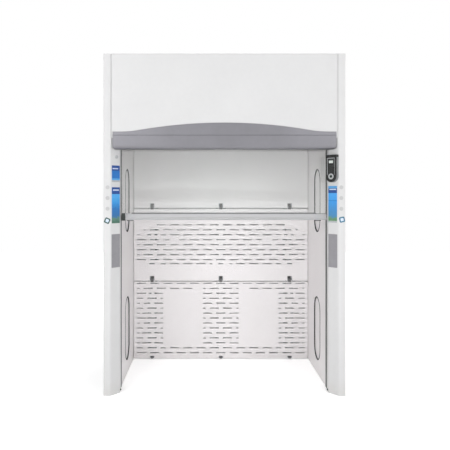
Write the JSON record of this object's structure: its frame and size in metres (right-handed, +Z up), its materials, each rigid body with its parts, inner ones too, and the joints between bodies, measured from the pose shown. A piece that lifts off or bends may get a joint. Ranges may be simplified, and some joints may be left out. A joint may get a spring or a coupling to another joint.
{
  "type": "filtered fume hood",
  "caption": "Walk-in filtered fume hood with counterbalanced glass sashes, white corner posts, grey arched canopy, perforated rear baffles, roof fans and an airflow monitor.",
  "frame": {"origin": "on the floor under the middle of the hood's bounding box", "axes": "+Z up, the user stands on the -Y side and looks along +Y, +X is to the user's right"},
  "size_m": [1.829, 0.9815, 2.588],
  "materials": {
    "post_white": "satin powder coat",
    "panel_white": "satin powder coat",
    "liner_white": "smooth resin panel",
    "canopy_grey": "satin moulding",
    "track_black": "extruded, satin",
    "gasket_black": "matte",
    "sash_glass": "clear",
    "sash_grey": "satin powder coat",
    "weight_iron": "painted",
    "pulley_black": "moulded",
    "wire": "stranded",
    "galvanised": "spangled",
    "clip_grey": "moulded",
    "monitor_grey": "moulded",
    "monitor_black": "gloss",
    "display_pale": "gloss",
    "button_grey": "satin",
    "latch_dark": "moulded",
    "plate_grey": "satin",
    "plug_white": "moulded",
    "lens_frost": "frosted",
    "filter_media": "pleated",
    "fan_black": "moulded"
  },
  "bodies": {
    "cabinet": {"left_column": "post_white", "right_column": "post_white", "header_panel": "post_white", "left_side_panel": "panel_white", "right_side_panel": "panel_white", "rear_panel": "panel_white", "roof_panel": "panel_white", "ceiling_panel": "liner_white", "bay_front_panel": "panel_white", "canopy_arch": "canopy_grey", "canopy_valance": "canopy_grey", "left_liner": "liner_white", "right_liner": "liner_white", "access_covers": "liner_white", "access_gaskets": "gasket_black", "upper_baffle": "liner_white", "middle_baffle": "liner_white", "lower_baffle": "liner_white", "baffle_clips": "clip_grey", "baffle_posts": "galvanised", "left_sash_track": "track_black", "right_sash_track": "track_black", "pulley_brackets": "galvanised", "column_plugs": "plug_white", "service_plates": "plate_grey", "monitor_body": "monitor_grey", "monitor_fascia": "monitor_black", "monitor_display": "display_pale", "ceiling_light": "panel_white", "light_lens": "lens_frost", "filter_rails": "galvanised", "filter_elements": "filter_media", "fan_deck": "galvanised", "outlet_grilles": "panel_white", "cable_wraps": "wire", "front_sash_cables": "wire", "rear_sash_cables": "wire", "front_weight_cables": "wire", "rear_weight_cables": "wire"},
    "front_sash": {"front_sash_glass": "sash_glass", "front_sash_handle": "sash_grey", "front_sash_top_rail": "sash_grey", "front_sash_bumpers": "gasket_black"},
    "rear_sash": {"rear_sash_glass": "sash_glass", "rear_sash_handle": "sash_grey", "rear_sash_top_rail": "sash_grey"},
    "front_left_weight": {"front_left_weight": "weight_iron"},
    "front_right_weight": {"front_right_weight": "weight_iron"},
    "rear_left_weight": {"rear_left_weight": "weight_iron"},
    "rear_right_weight": {"rear_right_weight": "weight_iron"},
    "front_left_pulley": {"front_left_pulley": "pulley_black"},
    "front_right_pulley": {"front_right_pulley": "pulley_black"},
    "rear_left_pulley": {"rear_left_pulley": "pulley_black"},
    "rear_right_pulley": {"rear_right_pulley": "pulley_black"},
    "left_fan": {"left_fan": "fan_black"},
    "middle_fan": {"middle_fan": "fan_black"},
    "right_fan": {"right_fan": "fan_black"},
    "monitor_button": {"monitor_button": "button_grey"},
    "light_switch": {"light_switch": "button_grey"},
    "sash_latch": {"sash_latch": "latch_dark"}
  },
  "joints": [
    {"name": "front_sash_slide", "type": "slide", "parent": "cabinet", "child": "front_sash", "axis": [0, 0, 1], "range_m": [-1.316, 0.19], "deforming": ["front_sash_cables"]},
    {"name": "rear_sash_slide", "type": "slide", "parent": "cabinet", "child": "rear_sash", "axis": [0, 0, 1], "range_m": [-0.4, 0.17], "deforming": ["rear_sash_cables"]},
    {"name": "front_left_weight_slide", "type": "slide", "parent": "cabinet", "child": "front_left_weight", "axis": [0, 0, 1], "range_m": [-0.19, 1.316], "deforming": ["front_weight_cables"]},
    {"name": "front_right_weight_slide", "type": "slide", "parent": "cabinet", "child": "front_right_weight", "axis": [0, 0, 1], "range_m": [-0.19, 1.316]},
    {"name": "rear_left_weight_slide", "type": "slide", "parent": "cabinet", "child": "rear_left_weight", "axis": [0, 0, 1], "range_m": [-0.17, 0.4], "deforming": ["rear_weight_cables"]},
    {"name": "rear_right_weight_slide", "type": "slide", "parent": "cabinet", "child": "rear_right_weight", "axis": [0, 0, 1], "range_m": [-0.17, 0.4]},
    {"name": "front_left_pulley_spin", "type": "hinge", "parent": "cabinet", "child": "front_left_pulley", "pos_m": [-0.83, -0.34327, 2.52], "axis": [0, 1, 0], "range_deg": [-300, 2000]},
    {"name": "front_right_pulley_spin", "type": "hinge", "parent": "cabinet", "child": "front_right_pulley", "pos_m": [0.83, -0.34327, 2.52], "axis": [0, 1, 0], "range_deg": [-2000, 300]},
    {"name": "rear_left_pulley_spin", "type": "hinge", "parent": "cabinet", "child": "rear_left_pulley", "pos_m": [-0.83, -0.30927, 2.52], "axis": [0, 1, 0], "range_deg": [-270, 620]},
    {"name": "rear_right_pulley_spin", "type": "hinge", "parent": "cabinet", "child": "rear_right_pulley", "pos_m": [0.83, -0.30927, 2.52], "axis": [0, 1, 0], "range_deg": [-620, 270]},
    {"name": "left_fan_spin", "type": "hinge", "parent": "cabinet", "child": "left_fan", "pos_m": [-0.6, 0.09998, 2.464], "axis": [0, 0, 1], "continuous": true},
    {"name": "middle_fan_spin", "type": "hinge", "parent": "cabinet", "child": "middle_fan", "pos_m": [0, 0.09998, 2.464], "axis": [0, 0, 1], "continuous": true},
    {"name": "right_fan_spin", "type": "hinge", "parent": "cabinet", "child": "right_fan", "pos_m": [0.6, 0.09998, 2.464], "axis": [0, 0, 1], "continuous": true},
    {"name": "monitor_button_push", "type": "slide", "parent": "cabinet", "child": "monitor_button", "axis": [0.7071, 0.7071, 0], "range_m": [0, 0.002], "stiffness_N_per_m": 600, "springref_m": -0.002},
    {"name": "light_switch_push", "type": "slide", "parent": "cabinet", "child": "light_switch", "axis": [-0.7071, 0.7071, 0], "range_m": [0, 0.003], "stiffness_N_per_m": 500, "springref_m": -0.002},
    {"name": "sash_latch_swing", "type": "hinge", "parent": "front_sash", "child": "sash_latch", "pos_m": [-0.7795, -0.36757, 1.37], "axis": [-1, 0, 0], "range_deg": [0, 25], "stiffness_Nm_per_rad": 0.4, "springref_deg": -5.73}
  ],
  "couplings": [
    {"joint": "front_left_weight_slide", "follows": "front_sash_slide", "ratio": -1},
    {"joint": "front_right_weight_slide", "follows": "front_sash_slide", "ratio": -1},
    {"joint": "rear_left_weight_slide", "follows": "rear_sash_slide", "ratio": -1},
    {"joint": "rear_right_weight_slide", "follows": "rear_sash_slide", "ratio": -1},
    {"joint": "front_left_pulley_spin", "follows": "front_sash_slide", "rad_per_m": -26.316},
    {"joint": "front_right_pulley_spin", "follows": "front_sash_slide", "rad_per_m": 26.316},
    {"joint": "rear_left_pulley_spin", "follows": "rear_sash_slide", "rad_per_m": -26.316},
    {"joint": "rear_right_pulley_spin", "follows": "rear_sash_slide", "rad_per_m": 26.316}
  ]
}
